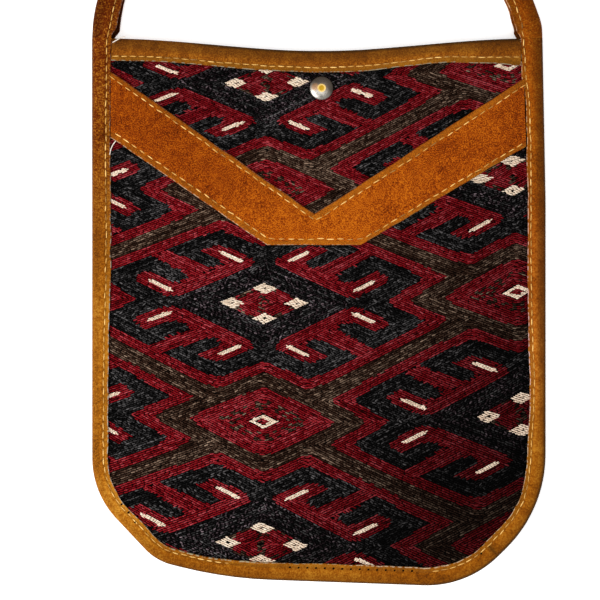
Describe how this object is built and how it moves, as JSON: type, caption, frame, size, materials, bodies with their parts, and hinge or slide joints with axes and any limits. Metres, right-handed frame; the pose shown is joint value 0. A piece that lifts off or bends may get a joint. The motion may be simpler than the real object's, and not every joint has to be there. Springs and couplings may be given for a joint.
{
  "type": "kilim crossbody bag",
  "caption": "Flat crossbody pouch with a woven kilim front, folded suede bindings, a sewn V band, a press-snap mouth and a long suede shoulder strap.",
  "frame": {"origin": "on the surface the bag lies on, under the middle of the bag without its strap", "axes": "+Z out of the front face, +Y towards the mouth, +X to the right as seen from the front"},
  "size_m": [0.25, 0.6368, 0.0164],
  "materials": {
    "kilim": "hand-woven wool with a raised brocaded pattern in red, black, brown and ivory",
    "suede": "orange-tan suede with a mottled nap",
    "strap_suede": "darker, worn suede",
    "lining": "plain dark cotton",
    "nickel": "dull nickel worn to brass on the crown",
    "brass": "plain pressed brass"
  },
  "bodies": {
    "root": {"front_panel": "kilim", "front_lining": "lining", "back_panel": "suede", "back_lining": "lining", "edge_binding": "suede", "top_binding_front": "suede", "top_binding_back": "suede", "chevron_band": "suede", "shoulder_strap": "strap_suede", "snap_cap": "nickel", "snap_socket": "brass", "snap_stud": "brass", "snap_back_rivet": "brass"}
  },
  "joints": []
}
